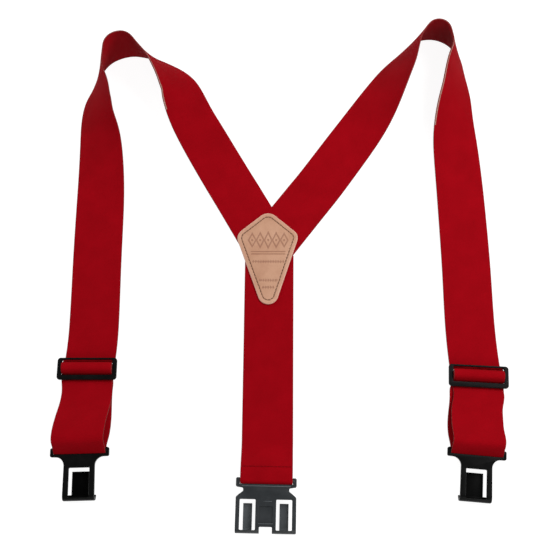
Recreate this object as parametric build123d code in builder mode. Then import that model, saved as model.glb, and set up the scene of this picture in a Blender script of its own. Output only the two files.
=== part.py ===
from build123d import *

import os
from math import cos, radians, sin

# Work suspenders laid out on a table, in millimetres. +Z is up and the table is Z = 0.
# The origin is on the table below the middle of the leather back patch. +Y runs from the
# patch towards the shoulders, -Y towards the clips, and +X is the right-hand strap's side.

# ---------- webbing ----------
web_width = 50.8
web_thick = 1.6
half_web = web_thick / 2
joint_gap = 0.1         # between two stretches of one strap that are stored as separate nodes

# ---------- leather back patch ----------
backing_thick = 1.5
patch_thick = 2.0
layer_gap = 0.08         # between the straps and the leathers that they are sewn to
patch_bottom_z = backing_thick + web_thick + 2 * layer_gap
patch_top_z = patch_bottom_z + patch_thick
patch_corners = [(0.7, 43.4), (33.4, 15.5), (1.2, -82.0), (-33.6, 15.5)]
patch_radii = [12.0, 10.0, 10.6, 11.0]
backing_inset = 0.6
flat_radius = 62.0      # straps lie flat on the backing up to here from the patch's middle
table_radius = 96.0     # and they are down on the table from here on

# ---------- stitches ----------
stitch_inset = 4.4
stitch_pitch = 3.6
stitch_length = 2.6
stitch_width = 0.75
stitch_height = 0.35

# ---------- strap routes: where the outer edge rests (x, y) and how far the strap is tipped up ----------
leg_top_y = 128.0
left_route = [(-206.4, -115.6, 0), (-204.4, -106.0, 0), (-203.3, -72.0, 0), (-204.1, -10.0, 0),
              (-204.3, 55.0, 2), (-204.3, 92.0, 12), (-204.9, 128.0, 26), (-204.6, 153.0, 40),
              (-201.0, 173.0, 47), (-195.8, 185.0, 57), (-190.8, 199.0, 73), (-183.5, 213.5, 81),
              (-171.0, 225.6, 92), (-156.0, 230.7, 92), (-140.0, 229.8, 79), (-124.0, 225.8, 67),
              (-109.0, 219.0, 54), (-95.0, 211.2, 38), (-83.0, 201.0, 30), (-74.2, 188.0, 28),
              (-63.0, 166.0, 16), (-51.0, 145.0, 5), (-35.0, 117.0, 1), (-19.0, 89.0, 0), (9.0, 40.0, 0),
              (33.0, -2.0, 0)]
right_route = [(237.6, -124.3, 0), (235.2, -112.0, 0), (233.5, -80.0, 0), (233.5, -30.0, 0),
               (232.8, 30.0, 1), (231.0, 85.0, 5), (228.2, 128.0, 14), (226.0, 154.0, 29),
               (224.4, 180.0, 43), (221.4, 198.0, 53), (218.8, 214.0, 63), (215.8, 228.0, 71),
               (208.5, 240.2, 76), (199.5, 248.2, 82), (189.0, 252.3, 84), (177.5, 252.4, 82),
               (167.0, 248.9, 77), (158.5, 242.0, 74), (150.0, 233.6, 67), (141.0, 225.3, 56),
               (129.0, 213.8, 46), (113.4, 195.4, 34), (97.5, 174.4, 20), (81.9, 153.1, 9),
               (61.0, 124.5, 2), (35.0, 88.4, 0), (2.0, 44.8, 0), (-31.0, 1.2, 0)]
seam_x = 4.3            # the shoulder straps meet here under the patch
back_strap_top_y = -7.0

# ---------- adjusters: tri-glide slides with a round middle bar ----------
adjuster_size = (60.0, 22.4)
adjuster_thick = 2.8
adjuster_z = 5.2
adjuster_corner = 3.2
adjuster_rail = 4.4
adjuster_window_corner = 2.2
top_bar_width = 2.0
bottom_bar_width = 5.0
middle_bar_radius = 1.3
middle_bar_y = 1.0
wrap_clear = 0.2
thread_end = 12.0       # the threaded webbing reaches this far to each side of the adjuster's middle
front_web_z = 2.7       # the middle of the front layer where it leaves below the bottom bar

# ---------- clips: local Y = 0 is the bar that the webbing folds round ----------
clip_bar_radius = 2.0
clip_bar_z = 10.0
clip_wrap_clear = 0.2
clip_slot_y = -3.9
clip_ear_top = 2.3
clip_ear_bottom = -6.3
clip_ear_length = 3.0
plate_thick = 3.0
hook_thick = 2.5
fold_end = 3.0          # where the webbing that wraps a clip's bar ends
front_fold_top = 17.8   # how high the front layer is there
front_fold_slope = (0.672, -0.741)

front_clip = dict(width=57.2, body=30.8, length=48.0, window=(20.4, -16.8, -44.9), hooks=[0.0],
                  hook_width=16.4, hook_top=-19.9, wide_bend=True, waist=[(14.9, -6.6, 8.5)])
back_clip = dict(width=58.6, body=58.4, length=49.7, window=(15.3, -18.0, -46.6), hooks=[-17.6, 17.6],
                 hook_width=8.7, hook_top=-21.4, wide_bend=False,
                 waist=[(22.2, -7.4, 1.5), (22.2, -10.4, 1.5), (26.2, -13.4, 1.5), (29.1, -16.0, 2.0)])
back_notch = (12.4, 6.2)
back_panel = (13.0, 15.6, -32.2, 0.8)    # width, height, middle Y and depth of the recessed panel

# ---------- the webbing's middle: (share of the run, z, how far it lies to the right) ----------
left_front_rise = [(0.0, 2.7, 0.0), (0.10, 3.2, 1.0), (0.30, 6.5, 1.4), (0.50, 13.5, 0.4), (0.70, 19.8, -0.7),
                   (0.84, 22.0, -1.1), (0.93, 21.2, -0.9), (1.0, 17.8, 0.0)]
right_front_rise = [(0.0, 2.7, 0.0), (0.10, 3.2, 0.8), (0.30, 5.5, -0.6), (0.50, 10.5, -1.2),
                    (0.70, 15.5, -0.8), (0.84, 19.4, 0.3), (0.93, 20.2, 0.4), (1.0, 17.8, 0.0)]
left_back_rise = [(0.0, 0.8, 0.0), (0.12, 0.8, 1.0), (0.50, 0.8, 1.6), (0.72, 1.7, 1.6), (0.90, 5.6, 0.7),
                  (1.0, 7.0, 0.0)]
right_back_rise = [(0.0, 0.8, 0.0), (0.12, 0.8, -2.6), (0.50, 0.8, -3.1), (0.72, 1.7, -2.6),
                   (0.90, 5.6, -1.0), (1.0, 7.0, 0.0)]
back_strap_rise = [(0.0, 2.38, 0), (0.1, 2.38, 0), (0.2, 2.38, 0), (0.27, 2.36, 0), (0.34, 1.95, 0),
                   (0.42, 1.15, 0), (0.48, 0.84, 0), (0.54, 0.8, 0), (0.77, 0.8, 0), (1.0, 0.8, 0)]
back_lead = [(38.0, 0.8), (31.0, 1.9), (24.0, 5.2), (17.0, 9.3), (10.0, 12.2), (3.0, 13.0)]
back_tail = 14.0
back_stitch_y = 13.5
back_stitch_count = 14

end_pull = (0.4, 0.4)               # how firmly a side view keeps to the direction of its ends
level_ends = [(-1, 0), (-1, 0)]    # both ends of a side view run level, towards the clip

# ---------- places: (x, y, turn in degrees) ----------
left_adjuster_at = (-181.5, -127.6, 0.0)
right_adjuster_at = (212.6, -135.3, -3.0)
left_clip_at = (-182.6, -209.0, 1.5)
right_clip_at = (204.9, -210.4, -5.0)
back_clip_at = (-0.4, -237.8, -1.2)


def flat_plane(place, z=0.0):
    """The plane level with the table at a place, turned with it."""
    x, y, turn = place
    return Plane(origin=(x, y, z), x_dir=(cos(radians(turn)), sin(radians(turn)), 0), z_dir=(0, 0, 1))


def side_plane(place):
    """The upright plane along a place's own Y, for profiles that are extruded across it."""
    level = flat_plane(place)
    return Plane(origin=level.origin, x_dir=level.y_dir, z_dir=level.x_dir)


def strap_lift(x, y):
    """How far the backing leather holds a strap off the table."""
    out = (table_radius - Vector(x, y, 0).length) / (table_radius - flat_radius)
    share = min(max(out, 0.0), 1.0)
    return (backing_thick + layer_gap) * share * share * (3 - 2 * share)


def tilt_at(route, share):
    """The tilt of a strap at a share of the straight runs between its stations."""
    runs = [Vector(b[0] - a[0], b[1] - a[1], 0).length for a, b in zip(route, route[1:])]
    left = share * sum(runs)
    for here, ahead, run in zip(route, route[1:], runs):
        if left <= run:
            return here[2] + (ahead[2] - here[2]) * left / run
        left -= run
    return route[-1][2]


def tipped_frames(route, side, start_turn, count):
    """Cross-section planes of a strap that stands on its outer edge; side is 1 or -1 for inwards."""
    last = Vector(route[-1][0] - route[-2][0], route[-1][1] - route[-2][1]).normalized()
    first = (-sin(radians(start_turn)), cos(radians(start_turn)))
    line = Spline(*[(x, y) for x, y, tilt in route], tangents=[first, (last.X, last.Y)])
    headings = [line.tangent_at(step / count) for step in range(count + 1)]
    frames = []
    for step in range(count + 1):
        here = line.position_at(step / count)
        reach = min(step, count - step, 2)
        heading = sum(headings[step - reach:step + reach + 1], Vector(0, 0, 0)).normalized()
        inward = Vector(heading.Y, -heading.X, 0) * side
        tilt = radians(tilt_at(route, step / count))
        across = inward * cos(tilt) + Vector(0, 0, sin(tilt))
        middle = Vector(here.X, here.Y, half_web * cos(tilt)) + across * (web_width / 2)
        middle += Vector(0, 0, strap_lift(middle.X, middle.Y))
        frames.append(Plane(origin=middle, x_dir=across, z_dir=heading))
    return frames


def beside(place, along):
    """The place that lies along a place's own Y from it."""
    x, y, turn = place
    return (x - along * sin(radians(turn)), y + along * cos(radians(turn)), turn)


def level_frames(start, finish, rise, count, arrive=(1, 0)):
    """Planes of a strap between two places whose middle follows (share, z, sideways) points."""
    run = Vector(finish[0] - start[0], finish[1] - start[1], 0).length
    line = Spline(*[(share * run, z, aside) for share, z, aside in rise], tangents=[(1, 0, 0), (*arrive, 0)])
    frames = []
    for step in range(count + 1):
        here = line.position_at(step / count)
        slope = line.tangent_at(step / count)
        x, y, turn = (a + (b - a) * here.X / run for a, b in zip(start, finish))
        across = Vector(cos(radians(turn)), sin(radians(turn)), 0)
        forward = Vector(across.Y, -across.X, 0) * slope.X + Vector(0, 0, slope.Y)
        frames.append(Plane(origin=Vector(x, y, here.Y) + across * here.Z, x_dir=across, z_dir=forward))
    return frames


def offset_line(points, ends, distance, count=36):
    """Points at a distance to the left of the smooth line through points, with these end directions."""
    line = Spline(*points, tangents=ends, tangent_scalars=end_pull)
    moved = []
    for step in range(count + 1):
        here = line.position_at(step / count)
        ahead = line.tangent_at(step / count)
        moved.append((here.X - ahead.Y * distance, here.Y + ahead.X * distance))
    return moved


def loft_strap(name, frames):
    """One stretch of webbing through cross-section planes."""
    with BuildPart() as strap:
        for frame in frames:
            with BuildSketch(frame):
                Rectangle(web_width, web_thick)
        loft(ruled=True)
    strap.part.label = name
    return strap.part


def save(part):
    """Write a finished node under its own name."""
    export_step(part, f"parts/{part.label}.step")


def patch_outline(inset=0.0):
    """The kite-shaped face of the patch, drawn in from its edge by inset."""
    with BuildSketch(mode=Mode.PRIVATE) as outline:
        with BuildLine():
            Polyline(*patch_corners, close=True)
        make_face()
        for corner, radius in zip(patch_corners, patch_radii):
            nearest = outline.vertices().sort_by_distance((*corner, 0))[0]
            fillet(nearest, radius)
        if inset:
            offset(amount=-inset, mode=Mode.REPLACE)
    return outline.sketch


def make_patch():
    with BuildPart() as patch:
        with BuildSketch(Plane.XY.offset(patch_bottom_z)):
            add(patch_outline())
        extrude(amount=patch_thick)
        chamfer(patch.faces().sort_by(Axis.Z)[-1].edges(), 0.4)
    patch.part.label = "patch_leather"
    return patch.part


def make_backing():
    with BuildPart() as backing:
        with BuildSketch():
            add(patch_outline(backing_inset))
        extrude(amount=backing_thick)
    backing.part.label = "patch_backing"
    return backing.part


def stitch_rows(plane, spots, label):
    """A group of short thread stitches standing on plane; spots are (x, y, turn)."""
    with BuildPart() as thread:
        with BuildSketch(plane):
            for x, y, turn in spots:
                with Locations(Location((x, y, 0), (0, 0, 1), turn)):
                    SlotOverall(stitch_length, stitch_width)
        extrude(amount=stitch_height)
    thread.part.label = label
    return thread.part


def make_patch_stitches():
    line = patch_outline(stitch_inset).face().outer_wire()
    count = round(line.length / stitch_pitch)
    spots = []
    for step in range(count):
        here = line.position_at(step / count)
        ahead = line.tangent_at(step / count)
        spots.append((here.X, here.Y, Vector(1, 0, 0).get_signed_angle(ahead, Vector(0, 0, 1))))
    return stitch_rows(Plane.XY.offset(patch_top_z), spots, "patch_stitches")


def make_shoulder(name, frames, side):
    """A shoulder strap from the top of its front leg, round the arch and down under the patch."""
    with BuildPart() as shoulder:
        add(loft_strap(name, frames))
        split(bisect_by=Plane.YZ.offset(seam_x), keep=Keep.BOTTOM if side > 0 else Keep.TOP)
        split(bisect_by=Plane.XZ.offset(-back_strap_top_y), keep=Keep.BOTTOM)
    shoulder.part.label = name
    return shoulder.part


def make_adjuster(name, place):
    """A tri-glide: a flat frame with two slots and a round middle bar that the webbing is sewn to."""
    width, height = adjuster_size
    slot_top = height / 2 - top_bar_width
    slot_bottom = -height / 2 + bottom_bar_width
    window = width - 2 * adjuster_rail
    with BuildPart() as adjuster:
        with BuildSketch(flat_plane(place, adjuster_z - adjuster_thick / 2)):
            RectangleRounded(width, height, adjuster_corner)
            with Locations((0, (slot_top + slot_bottom) / 2)):
                RectangleRounded(window, slot_top - slot_bottom, adjuster_window_corner, mode=Mode.SUBTRACT)
            with Locations((0, slot_bottom / 2)):
                Rectangle(window, -slot_bottom, mode=Mode.SUBTRACT)
        extrude(amount=adjuster_thick)
        flat_faces = adjuster.faces().filter_by(Axis.Z)
        fillet(flat_faces.edges(), 0.7)
        with BuildSketch(side_plane(place)):
            with Locations((middle_bar_y, adjuster_z)):
                Circle(middle_bar_radius)
        extrude(amount=width / 2 - adjuster_rail / 2, both=True)
    adjuster.part.label = name
    return adjuster.part


def band(name, place, points, ends=level_ends):
    """Webbing whose side view follows points (along, up), extruded across the place."""
    upper = offset_line(points, ends, half_web)
    lower = offset_line(points, ends, -half_web)
    with BuildPart() as strap:
        with BuildSketch(side_plane(place)):
            with BuildLine():
                Polyline(*upper, *reversed(lower), close=True)
            make_face()
        extrude(amount=web_width / 2, both=True)
    strap.part.label = name
    return strap.part


def make_threaded_webbing(name, place):
    """The strap inside the adjuster: under the top bar, over the middle bar, under the bottom bar."""
    return band(name, place, [
        (thread_end, half_web), (9.1, 0.9), (7.3, 2.1), (6.15, 4.8), (5.25, 7.3), (3.8, 9.0), (1.1, 9.75),
        (-1.4, 9.1), (-3.2, 7.1), (-4.6, 4.5), (-6.2, 2.95), (-9.0, 2.65), (-thread_end, front_web_z)])


def make_end_loop(name, place):
    """The strap's sewn end, wrapped round the middle bar from below."""
    radius = middle_bar_radius + wrap_clear + half_web
    around = []
    for degrees in range(-90, 181, 30):
        turn = radians(degrees)
        around.append((middle_bar_y + radius * cos(turn), adjuster_z + radius * sin(turn)))
    run_in = [(-thread_end, half_web), (-8.5, half_web), (-5.5, 0.95), (-2.2, 1.9)]
    return band(name, place, run_in + around, ends=((1, 0), (0, -1)))


def make_front_fold(name, place):
    """The webbing that comes down steeply onto a front clip's bar, turns round it and runs back below it."""
    radius = clip_bar_radius + clip_wrap_clear + half_web
    around = []
    for degrees in (138, 165, 192, 219, 246, 270):
        turn = radians(degrees)
        around.append((radius * cos(turn), clip_bar_z + radius * sin(turn)))
    side = [(fold_end, front_fold_top), *around, (fold_end, clip_bar_z - radius)]
    return band(name, place, side, ends=[(-front_fold_slope[0], front_fold_slope[1]), (1, 0)])


def make_back_fold(name, place):
    """The back strap's fold: its slope down to the clip, the turn round the bar, and the sewn tail."""
    inner = clip_bar_radius + clip_wrap_clear
    outer = inner + web_thick
    slope = band(name, place, back_lead)
    with BuildPart() as fold:
        with BuildSketch(side_plane(place)):
            with Locations((0, clip_bar_z)):
                Circle(outer)
                Circle(inner, mode=Mode.SUBTRACT)
                with Locations((outer, 0)):
                    Rectangle(2 * outer, 3 * outer, mode=Mode.SUBTRACT)
            for height, length in ((inner + half_web, fold_end), (-inner - half_web, fold_end + back_tail)):
                with Locations((length / 2, clip_bar_z + height)):
                    Rectangle(length, web_thick)
        extrude(amount=web_width / 2, both=True)
        add(slope)
    fold.part.label = name
    return fold.part


def make_fold_stitches(name, place):
    """The row of stitches that closes the back strap's fold, on the slope of its front layer."""
    top = offset_line(back_lead, level_ends, -half_web)
    above, below = next((a, b) for a, b in zip(top, top[1:]) if b[0] < back_stitch_y)
    slope = Vector(below[0] - above[0], below[1] - above[1], 0).normalized()
    level = flat_plane(place)
    across, along = level.x_dir, level.y_dir
    middle = level.origin + along * (above[0] + below[0]) / 2 + Vector(0, 0, (above[1] + below[1]) / 2)
    row = Plane(origin=middle, x_dir=across, z_dir=along * slope.Y + Vector(0, 0, -slope.X))
    first = -(back_stitch_count - 1) / 2
    spots = [((first + step) * stitch_pitch * 0.96, 0, 0) for step in range(back_stitch_count)]
    return stitch_rows(row, spots, name)


def rounded_outline(corners):
    """A closed face through corners (x, y, radius), each rounded by its own radius."""
    with BuildSketch(mode=Mode.PRIVATE) as outline:
        with BuildLine():
            Polyline(*[(x, y) for x, y, radius in corners], close=True)
        make_face()
        for x, y, radius in corners:
            fillet(outline.vertices().sort_by_distance((x, y, 0))[0], radius)
    return outline.sketch


def clip_outline(shape):
    """The clip seen from the front: bar slot and ears at the top, down to the bend of its hooks."""
    ear_x = shape["width"] / 2
    ear_inner = ear_x - clip_ear_length
    half = [(ear_inner, clip_slot_y, 0.5), (ear_inner, clip_ear_top, 0.6), (ear_x, clip_ear_top, 1.6),
            (ear_x, clip_ear_bottom, 1.6), *shape["waist"], (shape["body"] / 2, -shape["length"], 1.0)]
    return rounded_outline(half + [(-x, y, radius) for x, y, radius in reversed(half)])


def block_face(place, z, centre, size, corner):
    """A round-cornered rectangle level with the table; centre and size are in the place's own XY."""
    with BuildSketch(flat_plane(place, z), mode=Mode.PRIVATE) as block:
        with Locations(centre):
            RectangleRounded(*size, corner)
    return block.sketch


def make_clip(name, place, shape):
    """A moulded belt clip: bar and ears, a plate with windows, and hooks turned back below the plate."""
    plate_z = clip_bar_z - plate_thick / 2
    plate_top = plate_z + plate_thick
    bend = plate_top / 2
    bend_y = -shape["length"] + bend
    cut_end = bend_y if shape["wide_bend"] else -shape["length"]
    window_width, window_top, window_bottom = shape["window"]
    with BuildPart() as clip:
        with BuildSketch(side_plane(place)):
            with Locations((bend_y, bend)):
                Circle(bend)
                Circle(bend - hook_thick, mode=Mode.SUBTRACT)
            with Locations((bend_y + bend, bend)):
                Rectangle(2 * bend, 4 * bend, mode=Mode.SUBTRACT)
            with Locations(((bend_y + clip_ear_top) / 2, plate_z + plate_thick / 2)):
                Rectangle(clip_ear_top - bend_y, plate_thick)
            with Locations(((bend_y + shape["hook_top"]) / 2, hook_thick / 2)):
                Rectangle(shape["hook_top"] - bend_y, hook_thick)
        extrude(amount=shape["width"] / 2, both=True)
        with BuildSketch(flat_plane(place)):
            add(clip_outline(shape))
        extrude(amount=plate_top, mode=Mode.INTERSECT)
        edges = [-shape["body"]] + [x + end * shape["hook_width"] / 2 for x in shape["hooks"]
                                    for end in (-1, 1)] + [shape["body"]]
        for left, right in zip(edges[::2], edges[1::2]):
            with BuildSketch(flat_plane(place)):
                with Locations(((left + right) / 2, cut_end / 2)):
                    Rectangle(right - left, -cut_end)
            extrude(amount=bend, mode=Mode.SUBTRACT)
        for x in shape["hooks"]:
            window = block_face(place, bend, (x, (window_top + window_bottom) / 2),
                                (window_width, window_top - window_bottom), 1.0)
            extrude(window, amount=plate_top, mode=Mode.SUBTRACT)
        if len(shape["hooks"]) > 1:
            panel_width, panel_height, panel_y, panel_depth = back_panel
            notch = block_face(place, 0, (0, -shape["length"]), (back_notch[0], 2 * back_notch[1]), 1.0)
            extrude(notch, amount=plate_top, mode=Mode.SUBTRACT)
            panel = block_face(place, plate_top - panel_depth, (0, panel_y), (panel_width, panel_height), 1)
            extrude(panel, amount=plate_thick, mode=Mode.SUBTRACT)
        with BuildSketch(side_plane(place)):
            with Locations((0, clip_bar_z)):
                Circle(clip_bar_radius)
        extrude(amount=(shape["width"] - clip_ear_length) / 2, both=True)
    clip.part.label = name
    return clip.part


def make_back_strap():
    """The back strap, from its top edge under the patch down to its raised end at the back clip."""
    start = (2.0, back_strap_top_y, 0.0)
    finish = beside(back_clip_at, back_lead[0][0] + joint_gap)
    return loft_strap("back_strap", level_frames(start, finish, back_strap_rise, 20))


def make_side(name, route, inward, adjuster_at, clip_at, front_rise, back_rise):
    """Every node of one shoulder strap, from the patch to its front clip."""
    frames = tipped_frames(route, inward, adjuster_at[2], 60)
    leg_top = min(step for step, frame in enumerate(frames) if frame.origin.Y > leg_top_y)
    save(loft_strap(f"{name}_leg_strap", frames[:leg_top + 1]))
    save(make_shoulder(f"{name}_shoulder_strap", frames[leg_top:], inward))
    save(make_adjuster(f"{name}_adjuster", adjuster_at))
    save(make_threaded_webbing(f"{name}_threaded_webbing", adjuster_at))
    save(make_end_loop(f"{name}_end_loop", adjuster_at))
    leaves = beside(adjuster_at, -thread_end - joint_gap)
    reaches = beside(clip_at, fold_end + joint_gap)
    save(loft_strap(f"{name}_loop_front", level_frames(leaves, reaches, front_rise, 24, front_fold_slope)))
    save(loft_strap(f"{name}_loop_back", level_frames(leaves, reaches, back_rise, 18)))
    save(make_front_fold(f"{name}_clip_fold", clip_at))
    save(make_clip(f"{name}_front_clip", clip_at, front_clip))


if __name__ == "__main__":
    os.makedirs("parts", exist_ok=True)
    save(make_patch())
    save(make_backing())
    save(make_patch_stitches())
    make_side("left", left_route, 1, left_adjuster_at, left_clip_at, left_front_rise, left_back_rise)
    make_side("right", right_route, -1, right_adjuster_at, right_clip_at, right_front_rise, right_back_rise)
    save(make_back_strap())
    save(make_back_fold("back_strap_fold", back_clip_at))
    save(make_fold_stitches("back_fold_stitches", back_clip_at))
    save(make_clip("back_clip", back_clip_at, back_clip))
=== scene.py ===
from math import cos, pi, radians, sin

import bmesh
import bpy
import numpy as np
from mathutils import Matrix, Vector
from mathutils.geometry import delaunay_2d_cdt


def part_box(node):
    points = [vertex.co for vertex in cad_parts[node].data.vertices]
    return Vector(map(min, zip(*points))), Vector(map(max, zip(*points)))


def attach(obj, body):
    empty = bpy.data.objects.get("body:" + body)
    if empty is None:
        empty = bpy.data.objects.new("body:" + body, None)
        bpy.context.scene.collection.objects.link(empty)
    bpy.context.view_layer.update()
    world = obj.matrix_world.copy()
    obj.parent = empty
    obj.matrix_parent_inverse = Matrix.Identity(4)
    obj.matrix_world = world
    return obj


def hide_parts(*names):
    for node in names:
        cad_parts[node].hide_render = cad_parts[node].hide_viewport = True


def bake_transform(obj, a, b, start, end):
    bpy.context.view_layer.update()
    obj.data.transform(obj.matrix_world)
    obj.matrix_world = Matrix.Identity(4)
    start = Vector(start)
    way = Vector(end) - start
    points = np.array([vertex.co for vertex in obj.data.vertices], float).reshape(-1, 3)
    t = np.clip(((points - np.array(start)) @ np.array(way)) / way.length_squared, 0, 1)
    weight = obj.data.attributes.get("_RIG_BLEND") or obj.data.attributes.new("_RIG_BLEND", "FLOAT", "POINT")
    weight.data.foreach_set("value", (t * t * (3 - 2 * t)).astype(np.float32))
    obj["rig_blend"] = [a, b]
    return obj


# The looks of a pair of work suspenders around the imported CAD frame. Metres, in the row frame:
# the origin is on the table below the back patch, +Y runs to the shoulders and -Y to the clips.

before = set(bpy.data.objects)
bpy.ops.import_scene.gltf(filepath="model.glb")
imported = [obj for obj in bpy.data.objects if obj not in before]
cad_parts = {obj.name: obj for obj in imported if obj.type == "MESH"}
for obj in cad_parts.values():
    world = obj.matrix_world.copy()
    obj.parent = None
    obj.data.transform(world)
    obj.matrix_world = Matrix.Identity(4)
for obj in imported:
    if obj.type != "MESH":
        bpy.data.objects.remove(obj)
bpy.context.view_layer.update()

MM = 0.001
WIDTH = 0.0508
THICK = 0.0016
HALF_THICK = THICK / 2
BACKING_THICK = 0.0015
LAYER_GAP = 0.00008
FLAT_RADIUS = 0.062      # round the origin, where a strap lies on the backing leather
TABLE_RADIUS = 0.096     # and from where on it lies on the table
PATCH_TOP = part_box("patch_leather")[1].z
PATCH_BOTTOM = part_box("patch_leather")[0].z
LEG_TOP_Y = 0.128        # where the part of a strap that moves with its adjuster ends
SEAM_X = 0.0043          # where the two shoulder straps meet
BACK_TOP_Y = -0.007      # where the back strap meets them
SEAM_GAP = 0.0002
BACK_STRETCH_Y = -0.062  # from where on the back strap stretches

# The webbing's weave, and its edge where pale yarns show.
RIB_PITCH = 1.25 * MM
PICK_PITCH = 0.9 * MM
EDGE_PICK_PITCH = 1.1 * MM
SELVEDGE = 0.25 * MM     # the width of the rounded edge
THINNING = 2.2 * MM      # and of the strip that thins towards it
# The strip beside an arch's raised inner edge shows the edge's pale yarns, painted paler as a highlight and
# laid only where that edge faces the left light.
HEM_HIGHLIGHT_WIDTH = 1.3 * MM           # how wide the painted highlight of the pale yarns is beside an arch's raised edge
HEM_HIGHLIGHT_RISE = 0.35          # where the webbing rises across its width at least so steeply (sine)
HEM_HIGHLIGHT_FROM_X = {"left": -0.150, "right": 0.190}      # and to the right of this

# Where each strap's outer edge rests on the table (x, y in mm) and how far the strap is tipped up (degrees).
# These are nearly the CAD model's routes: they differ at the adjusters, and the left one in its tilt past
# the arch.
LEFT_ROUTE = [
    (-204.9, -115.6, 0), (-203.9, -103.0, 0), (-203.3, -72.0, 0), (-204.1, -10.0, 0),
    (-204.3, 55.0, 2), (-204.3, 92.0, 12), (-204.9, 128.0, 26), (-204.6, 153.0, 40),
    (-201.0, 173.0, 47), (-195.8, 185.0, 57), (-190.8, 199.0, 73), (-183.5, 213.5, 81),
    (-171.0, 225.6, 92), (-156.0, 230.7, 92), (-140.0, 229.8, 79), (-124.0, 225.8, 67),
    (-109.0, 219.0, 54), (-95.0, 211.2, 40), (-83.0, 201.0, 33), (-74.2, 188.0, 26),
    (-63.0, 166.0, 15), (-51.0, 145.0, 6), (-35.0, 117.0, 1), (-19.0, 89.0, 0), (9.0, 40.0, 0),
    (33.0, -2.0, 0)]
RIGHT_ROUTE = [
    (235.6, -124.6, 0), (234.6, -111.0, 0), (233.4, -80.0, 0), (233.5, -30.0, 0), (232.8, 30.0, 1),
    (231.0, 85.0, 5), (228.2, 128.0, 14), (226.0, 154.0, 29), (224.4, 180.0, 43),
    (221.4, 198.0, 53), (218.8, 214.0, 63), (215.8, 228.0, 71), (208.5, 240.2, 76),
    (199.5, 248.2, 82), (189.0, 252.3, 84), (177.5, 252.4, 82), (167.0, 248.9, 77),
    (158.5, 242.0, 74), (150.0, 233.6, 67), (141.0, 225.3, 56), (129.0, 213.8, 46),
    (113.4, 195.4, 34), (97.5, 174.4, 20), (81.9, 153.1, 9), (61.0, 124.5, 2), (35.0, 88.4, 0),
    (2.0, 44.8, 0), (-31.0, 1.2, 0)]

# Places (x, y in mm, turn in degrees) of the adjusters and of the bars that the clips hang on.
LEFT_ADJUSTER = (-181.5, -127.6, 0.0)
RIGHT_ADJUSTER = (212.6, -135.3, -3.0)
LEFT_CLIP = (-182.6, -209.0, 1.5)
RIGHT_CLIP = (204.9, -210.4, -5.0)
BACK_CLIP = (-0.4, -237.8, -1.2)

# In mm: the height of the clips' bars, the fold round them and where it starts, the height at which the front
# layer of a loop comes down to it, and how far from its middle an adjuster's own webbing ends.
CLIP_BAR_Z = 10.0
FOLD_RADIUS = 3.0
FOLD_END = 3.0
FRONT_FOLD_TOP = 17.8
THREAD_END = 12.0

# Degrees round the bar: where the fold starts at a front clip and at the back clip, and where it ends, below.
FRONT_FOLD_START = 138
BACK_FOLD_START = 90
FOLD_FINISH = 270

# The webbing's middle from each adjuster to its clip: (share of the run, height in mm, how far it lies to the
# right in mm), in the loop's front layer and then in its rear layer.
LEFT_FRONT = [
    (0.0, 2.7, 0.0), (0.10, 3.2, 1.0), (0.30, 6.5, 1.4), (0.50, 13.5, 0.4), (0.70, 19.8, -0.7),
    (0.84, 22.0, -1.1), (0.93, 21.2, -0.9), (1.0, 17.8, 0.0)]
RIGHT_FRONT = [
    (0.0, 2.7, 0.0), (0.10, 3.2, 0.8), (0.30, 5.5, -0.6), (0.50, 10.5, -1.2), (0.70, 15.5, -0.8),
    (0.84, 19.4, 0.3), (0.93, 20.2, 0.4), (1.0, 17.8, 0.0)]
LEFT_BACK = [
    (0.0, 0.8, 0.0), (0.12, 0.8, 1.0), (0.50, 0.8, 1.6), (0.72, 1.7, 1.6), (0.90, 5.6, 0.7),
    (1.0, 7.0, 0.0)]
RIGHT_BACK = [
    (0.0, 0.8, 0.0), (0.12, 0.8, -2.6), (0.50, 0.8, -3.1), (0.72, 1.7, -2.6), (0.90, 5.6, -1.0),
    (1.0, 7.0, 0.0)]

# The sewn end round the adjuster's middle bar: (along, height) in mm and the share of WRAP_ASIDE.
WRAPPED = [
    (-12.0, 0.8, 1.0), (-8.5, 0.8, 0.5), (-5.0, 0.8, 0.1), (-1.5, 0.85, 0), (1.6, 1.05, 0), (3.9, 2.1, 0),
    (4.6, 3.7, 0), (4.1, 5.6, 0), (2.8, 7.1, 0), (0.8, 7.5, 0), (-0.9, 6.6, 0), (-1.3, 5.0, 0)]

# How far the webbing lies to the right of each adjuster's middle, in mm: the leg, the loop's rear layer, and
# the stretch in the adjuster's window.
LEG_ASIDE = {"left": 2.0, "right": -3.0}
WRAP_ASIDE = {"left": 1.0, "right": -2.6}
WINDOW_ASIDE = {"left": -0.16, "right": 0.16}

# Side views of the webbing in mm: (along the place's own Y, height).
BACK_TAIL = 14.0         # how far the back strap's sewn end runs back
BACK_LEAD = [(38.0, 0.8), (31.0, 1.9), (24.0, 5.2), (17.0, 9.3), (10.0, 12.2), (3.0, 13.0)]
THREADED = [
    (12.0, 0.8), (9.1, 0.9), (7.3, 2.1), (6.15, 4.8), (5.25, 7.3), (3.8, 9.0), (1.1, 9.75),
    (-1.4, 9.1), (-3.2, 7.1), (-4.6, 4.5), (-6.2, 2.95), (-9.0, 2.65), (-12.0, 2.7)]

# Stations along each shoulder strap, each lower loop and the back strap.
SHOULDER_SAMPLES = 300
LOWER_SAMPLES = 420
BACK_SAMPLES = 460

# The clips: the height that their hooks lie below (m), and the one that their plates reach up to (mm). Then,
# in mm, how close the inner faces of the back clip's ears come to the webbing, how much farther out they may
# have been, and how far along its ears start.
HOOK_TOP_Z = 0.0038
PLATE_TOP = 11.5
EAR_GAP = 0.25
EAR_REACH = 1.2
EARS_FROM = -4.4

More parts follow.
